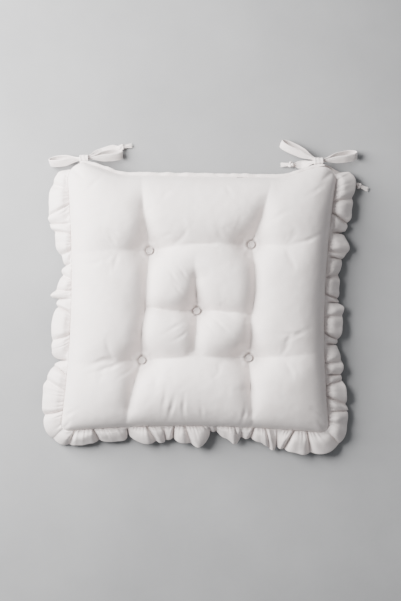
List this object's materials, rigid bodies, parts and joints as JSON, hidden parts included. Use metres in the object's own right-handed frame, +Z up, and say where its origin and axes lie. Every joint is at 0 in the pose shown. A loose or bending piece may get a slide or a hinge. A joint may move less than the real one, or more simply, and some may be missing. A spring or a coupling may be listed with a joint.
{
  "type": "chair seat pad",
  "caption": "Square tufted seat pad with a gathered ruffle round its sides and front, covered buttons, and flat ties in bows that hold it to a chair's back posts.",
  "frame": {"origin": "on the surface that the pad lies on, under the middle of the pad with its ruffle", "axes": "+Z up, +Y towards the chair's back, where the ties are, +X to the right of someone who faces the chair's back"},
  "size_m": [0.481, 0.4659, 0.066],
  "materials": {
    "cover": "off-white brushed cotton, fine plain weave, soft and matt",
    "ruffle": "the same off-white cotton, folded double and gathered",
    "ties": "the same off-white cotton, folded and edge-stitched into flat ties",
    "button_cloth": "the same off-white cotton, stretched over a button",
    "filling": "white polyester fibre",
    "twine": "waxed off-white twine",
    "base_button": "off-white resin, satin",
    "button_metal": "bright pressed steel"
  },
  "bodies": {
    "pad": {"base_button_back_left": "base_button", "base_button_back_right": "base_button", "base_button_centre": "base_button", "base_button_front_left": "base_button", "base_button_front_right": "base_button", "bow_left_knot": "ties", "bow_left_outer_end_knot": "ties", "bow_left_outer_tail": "ties", "bow_left_stem": "ties", "bow_right_knot": "ties", "bow_right_outer_end_knot": "ties", "bow_right_outer_tail": "ties", "bow_right_stem": "ties", "button_back_back_left": "button_metal", "button_back_back_right": "button_metal", "button_back_centre": "button_metal", "button_back_front_left": "button_metal", "button_back_front_right": "button_metal", "button_shell_back_left": "button_metal", "button_shell_back_right": "button_metal", "button_shell_centre": "button_metal", "button_shell_front_left": "button_metal", "button_shell_front_right": "button_metal", "button_skin_back_left": "button_cloth", "button_skin_back_right": "button_cloth", "button_skin_centre": "button_cloth", "button_skin_front_left": "button_cloth", "button_skin_front_right": "button_cloth", "cover_bottom": "cover", "cover_top": "cover", "fibre_filling": "filling", "ruffle_front": "ruffle", "ruffle_left": "ruffle", "ruffle_right": "ruffle", "tuft_twine_back_left": "twine", "tuft_twine_back_right": "twine", "tuft_twine_centre": "twine", "tuft_twine_front_left": "twine", "tuft_twine_front_right": "twine"},
    "bow_left_outer": {"bow_left_outer_loop": "ties"},
    "bow_left_inner": {"bow_left_inner_loop": "ties", "bow_left_inner_tail": "ties", "bow_left_inner_end_knot": "ties"},
    "bow_right_inner": {"bow_right_inner_loop": "ties", "bow_right_inner_tail": "ties", "bow_right_inner_end_knot": "ties"},
    "bow_right_outer": {"bow_right_outer_loop": "ties"}
  },
  "joints": [
    {"name": "bow_left_outer_swing", "type": "hinge", "parent": "pad", "child": "bow_left_outer", "pos_m": [-0.17, 0.22575, 0.019], "axis": [0, 1, 0], "range_deg": [-55, 60]},
    {"name": "bow_left_inner_swing", "type": "hinge", "parent": "pad", "child": "bow_left_inner", "pos_m": [-0.17, 0.22575, 0.019], "axis": [0, -1, 0], "range_deg": [-55, 60]},
    {"name": "bow_right_inner_swing", "type": "hinge", "parent": "pad", "child": "bow_right_inner", "pos_m": [0.177, 0.22175, 0.019], "axis": [0, 1, 0], "range_deg": [-55, 60]},
    {"name": "bow_right_outer_swing", "type": "hinge", "parent": "pad", "child": "bow_right_outer", "pos_m": [0.177, 0.22175, 0.019], "axis": [0, -1, 0], "range_deg": [-55, 60]}
  ]
}
